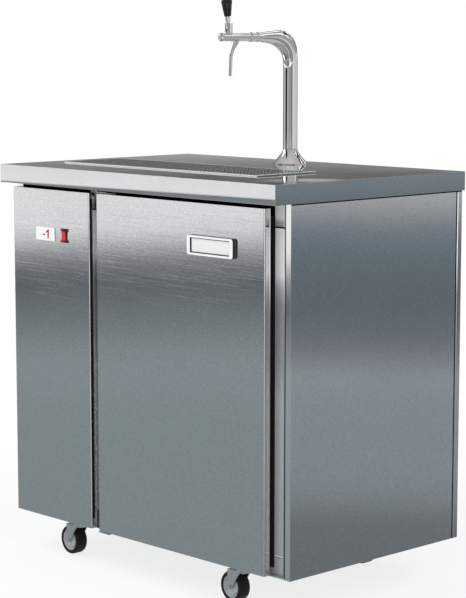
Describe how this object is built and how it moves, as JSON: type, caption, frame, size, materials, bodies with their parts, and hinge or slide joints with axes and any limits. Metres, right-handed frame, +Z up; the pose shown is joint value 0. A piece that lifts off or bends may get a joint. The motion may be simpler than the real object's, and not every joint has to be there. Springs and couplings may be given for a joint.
{
  "type": "kegerator",
  "caption": "Steel keg cooler on swivel casters: worktop with drip tray and swan-neck tower, one beer tap, hinged insulated door, and a cooling machine behind a side cover.",
  "frame": {"origin": "on the floor, under the middle of the worktop", "axes": "+X to the right and +Y to the back as someone stands before the door, +Z up"},
  "size_m": [1, 0.65, 1.4306],
  "materials": {
    "brushed_steel": "brushed stainless, satin",
    "brushed_front": "fine brushed stainless, upright grain",
    "chrome": "polished",
    "zinc": "bright zinc plate",
    "brass": "machined",
    "aluminium": "mill finish fins",
    "board": "raw board",
    "foam": "rigid foam",
    "liner": "smooth white",
    "white_plastic": "satin moulded",
    "red_plastic": "gloss moulded",
    "black_plastic": "satin moulded",
    "black_knob": "gloss moulded",
    "hub": "moulded grey",
    "tyre": "black rubber",
    "compressor": "black enamel"
  },
  "bodies": {
    "cabinet": {"worktop_skin": "brushed_steel", "worktop_core": "board", "drip_tray_pan": "brushed_steel", "side_panel_left": "brushed_steel", "side_panel_right": "brushed_steel", "back_panel": "brushed_steel", "power_inlet": "black_plastic", "base_pan": "brushed_steel", "frame_bottom_rail": "brushed_steel", "frame_top_rail": "brushed_steel", "frame_right_stile": "brushed_steel", "frame_mullion": "brushed_steel", "door_frame_breaker": "black_plastic", "insulation_foam": "foam", "cold_box_liner": "liner", "partition_panel": "brushed_steel", "machine_cover": "brushed_front", "temperature_display": "white_plastic", "switch_bezel": "black_plastic", "hinge_bracket_top": "brushed_steel", "hinge_bracket_bottom": "brushed_steel", "tower_column": "chrome", "tower_lock_nut": "brass", "beer_tube": "brushed_steel", "tap_coupling_nut": "chrome", "tap_body": "chrome", "tap_nose_cap": "chrome", "tap_spout": "chrome", "tap_bonnet": "chrome", "condenser": "aluminium", "fan_shroud": "black_plastic", "compressor": "compressor", "evaporator": "aluminium", "caster_front_left_mount": "zinc", "caster_front_right_mount": "zinc", "caster_rear_left_mount": "zinc", "caster_rear_right_mount": "zinc"},
    "door": {"door_skin": "brushed_front", "door_foam": "foam", "door_liner": "liner", "door_gasket": "black_plastic", "label_plate_frame": "white_plastic", "label_plate_insert": "white_plastic"},
    "grille": {"drip_tray_grille": "brushed_steel"},
    "rocker": {"switch_rocker": "red_plastic"},
    "fan": {"condenser_fan": "black_plastic"},
    "lever": {"tap_lever": "chrome", "tap_handle": "black_knob"},
    "swivel_front_left": {"caster_front_left_fork": "zinc"},
    "wheel_front_left": {"caster_front_left_hub": "hub", "caster_front_left_tyre": "tyre"},
    "swivel_front_right": {"caster_front_right_fork": "zinc"},
    "wheel_front_right": {"caster_front_right_hub": "hub", "caster_front_right_tyre": "tyre"},
    "swivel_rear_left": {"caster_rear_left_fork": "zinc"},
    "wheel_rear_left": {"caster_rear_left_hub": "hub", "caster_rear_left_tyre": "tyre"},
    "swivel_rear_right": {"caster_rear_right_fork": "zinc"},
    "wheel_rear_right": {"caster_rear_right_hub": "hub", "caster_rear_right_tyre": "tyre"}
  },
  "joints": [
    {"name": "door_hinge", "type": "hinge", "parent": "cabinet", "child": "door", "pos_m": [-0.15, -0.27945, 0.5266], "axis": [0, 0, -1], "range_deg": [0, 110]},
    {"name": "grille_lift", "type": "slide", "parent": "cabinet", "child": "grille", "axis": [0, 0, 1], "range_m": [0, 0.06]},
    {"name": "switch_rock", "type": "hinge", "parent": "cabinet", "child": "rocker", "pos_m": [-0.2855, -0.2873, 0.83825], "axis": [-1, 0, 0], "range_deg": [0, 16]},
    {"name": "fan_spin", "type": "hinge", "parent": "cabinet", "child": "fan", "pos_m": [-0.3416, -0.1299, 0.2015], "axis": [0, 1, 0], "continuous": true},
    {"name": "tap_lever_pull", "type": "hinge", "parent": "cabinet", "child": "lever", "pos_m": [0.01, -0.001, 1.3515], "axis": [1, 0, 0], "range_deg": [-16, 34]},
    {"name": "swivel_front_left", "type": "hinge", "parent": "cabinet", "child": "swivel_front_left", "pos_m": [-0.304, -0.2279, 0.09], "axis": [0, 0, 1], "continuous": true},
    {"name": "roll_front_left", "type": "hinge", "parent": "swivel_front_left", "child": "wheel_front_left", "pos_m": [-0.33748, -0.22673, 0.0375], "axis": [0.0349, 0.9994, 0], "continuous": true},
    {"name": "swivel_front_right", "type": "hinge", "parent": "cabinet", "child": "swivel_front_right", "pos_m": [0.304, -0.2279, 0.09], "axis": [0, 0, 1], "continuous": true},
    {"name": "roll_front_right", "type": "hinge", "parent": "swivel_front_right", "child": "wheel_front_right", "pos_m": [0.27052, -0.22673, 0.0375], "axis": [0.0349, 0.9994, 0], "continuous": true},
    {"name": "swivel_rear_left", "type": "hinge", "parent": "cabinet", "child": "swivel_rear_left", "pos_m": [-0.28, 0.246, 0.09], "axis": [0, 0, 1], "continuous": true},
    {"name": "roll_rear_left", "type": "hinge", "parent": "swivel_rear_left", "child": "wheel_rear_left", "pos_m": [-0.31348, 0.24717, 0.0375], "axis": [0.0349, 0.9994, 0], "continuous": true},
    {"name": "swivel_rear_right", "type": "hinge", "parent": "cabinet", "child": "swivel_rear_right", "pos_m": [0.28, 0.246, 0.09], "axis": [0, 0, 1], "continuous": true},
    {"name": "roll_rear_right", "type": "hinge", "parent": "swivel_rear_right", "child": "wheel_rear_right", "pos_m": [0.24652, 0.24717, 0.0375], "axis": [0.0349, 0.9994, 0], "continuous": true}
  ]
}
